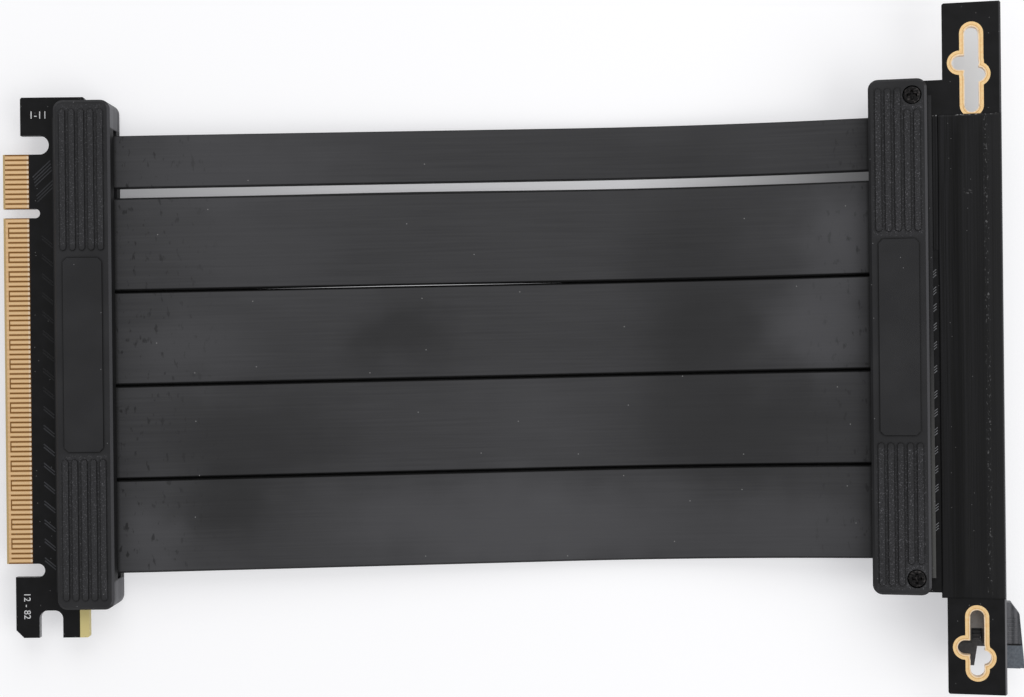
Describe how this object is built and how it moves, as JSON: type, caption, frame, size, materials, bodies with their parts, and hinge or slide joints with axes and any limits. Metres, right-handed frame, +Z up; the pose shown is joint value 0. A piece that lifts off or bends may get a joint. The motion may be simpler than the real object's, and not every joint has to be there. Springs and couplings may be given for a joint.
{
  "type": "pcie extension cable",
  "caption": "Card-edge extension cable: keyed edge plug board and slot socket board with a pivoting latch, ribbed covers, joined by layered flat ribbons.",
  "frame": {"origin": "middle of the footprint, on the plane the cable lies on", "axes": "+X from the plug to the socket, +Y along the connectors towards the tongue's short end, +Z up"},
  "size_m": [0.2092, 0.1396, 0.0152],
  "materials": {
    "solder_mask": "satin",
    "gold_plate": "polished",
    "tinned_wire": "satin",
    "cover_plastic": "matte",
    "ribbon_jacket": "satin",
    "black_screw": "satin",
    "insulation_film": "satin",
    "housing_plastic": "matte",
    "latch_plastic": "matte"
  },
  "bodies": {
    "cable": {"plug_board": "solder_mask", "plug_contacts_front": "gold_plate", "plug_contacts_back": "gold_plate", "plug_conductors_front": "tinned_wire", "plug_conductors_back": "tinned_wire", "plug_cover_front": "cover_plastic", "plug_cover_back": "cover_plastic", "plug_cover_screws": "black_screw", "socket_conductors_front": "tinned_wire", "socket_conductors_back": "tinned_wire", "socket_board": "solder_mask", "mounting_rings": "gold_plate", "insulation_film": "insulation_film", "socket_cover_front": "cover_plastic", "socket_cover_back": "cover_plastic", "socket_cover_screws": "black_screw", "socket_housing": "housing_plastic", "socket_contacts_left": "gold_plate", "socket_contacts_right": "gold_plate", "power_ribbon_front": "ribbon_jacket", "power_ribbon_back": "ribbon_jacket", "lane_ribbon_front_1": "ribbon_jacket", "lane_ribbon_front_2": "ribbon_jacket", "lane_ribbon_front_3": "ribbon_jacket", "lane_ribbon_front_4": "ribbon_jacket", "lane_ribbon_back_1": "ribbon_jacket", "lane_ribbon_back_2": "ribbon_jacket", "lane_ribbon_back_3": "ribbon_jacket", "lane_ribbon_back_4": "ribbon_jacket"},
    "latch": {"socket_latch": "latch_plastic"}
  },
  "joints": [
    {"name": "latch_pivot", "type": "hinge", "parent": "cable", "child": "latch", "pos_m": [0.09449, -0.0577, 0.00742], "axis": [-0.9744, 0, -0.225], "range_deg": [0, 18]}
  ]
}
